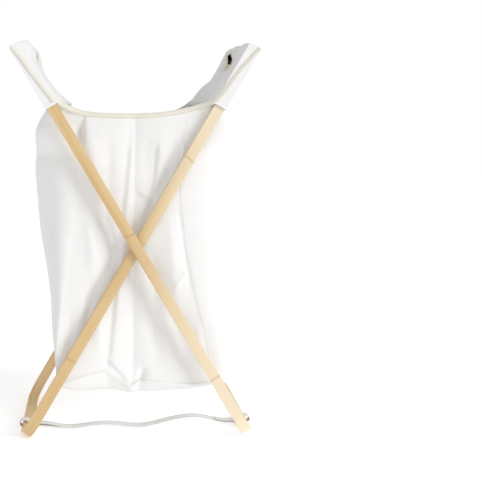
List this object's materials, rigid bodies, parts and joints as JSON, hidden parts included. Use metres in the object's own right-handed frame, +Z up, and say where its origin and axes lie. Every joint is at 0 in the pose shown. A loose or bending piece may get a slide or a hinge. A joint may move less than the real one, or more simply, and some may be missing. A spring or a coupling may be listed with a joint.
{
  "type": "folding laundry hamper",
  "caption": "Folding X-frame laundry hamper: two crossed bent bamboo loops carry a removable open-topped cotton bag with grip holes at both ends.",
  "frame": {"origin": "on the floor, at the middle of the footprint, under the pivot axis of the two loops", "axes": "+Z up, front faces -Y, +X to the right of someone in front; the pivot axis runs along Y"},
  "size_m": [0.4468, 0.3664, 0.7231],
  "materials": {
    "bamboo": "clear satin lacquer over laminated bamboo strip",
    "cotton": "plain woven white cotton-polyester canvas",
    "cream_tape": "cream cotton bias tape",
    "webbing": "flat white cotton webbing",
    "zinc_steel": "bright zinc plate",
    "brass": "plain brass"
  },
  "bodies": {
    "inner_frame": {"inner_loop": "bamboo", "inner_top_rail": "bamboo", "inner_rail_screws": "zinc_steel", "right_pocket": "cotton", "right_pocket_hem": "cotton", "right_opening_tape": "cream_tape", "right_grip_binding": "cream_tape", "left_strap_loop": "webbing", "strap": "webbing"},
    "outer_frame": {"outer_loop": "bamboo", "outer_top_rail": "bamboo", "outer_rail_screws": "zinc_steel", "pivot_bolts": "zinc_steel", "threaded_inserts": "brass", "left_pocket": "cotton", "left_pocket_hem": "cotton", "left_opening_tape": "cream_tape", "left_grip_binding": "cream_tape", "right_strap_loop": "webbing"},
    "pivot_washers": {"spacer_washers": "zinc_steel", "head_washers": "zinc_steel"},
    "bag": {"front_panel": "cotton", "rear_panel": "cotton", "left_side_panel": "cotton", "right_side_panel": "cotton", "base_panel": "cotton", "base_welt": "cotton", "front_rim_tape": "cream_tape", "rear_rim_tape": "cream_tape", "front_left_welt": "cotton", "front_right_welt": "cotton", "rear_left_welt": "cotton", "rear_right_welt": "cotton"}
  },
  "joints": [
    {"name": "frame_fold", "type": "hinge", "parent": "inner_frame", "child": "outer_frame", "pos_m": [0, 0, 0.356], "axis": [0, 1, 0], "range_deg": [0, 54], "deforming": ["front_panel", "rear_panel", "left_side_panel", "right_side_panel", "base_panel", "base_welt", "front_rim_tape", "rear_rim_tape", "front_left_welt", "front_right_welt", "rear_left_welt", "rear_right_welt", "strap"]},
    {"name": "washer_turn", "type": "hinge", "parent": "inner_frame", "child": "pivot_washers", "pos_m": [0, 0, 0.356], "axis": [0, 1, 0], "range_deg": [0, 27.5]},
    {"name": "bag_lift", "type": "slide", "parent": "pivot_washers", "child": "bag", "axis": [0, 0, 1], "range_m": [0, 0.0625]}
  ],
  "couplings": [
    {"joint": "washer_turn", "follows": "frame_fold", "ratio": 0.5},
    {"joint": "bag_lift", "follows": "frame_fold", "m_per_rad": 0.0653}
  ]
}
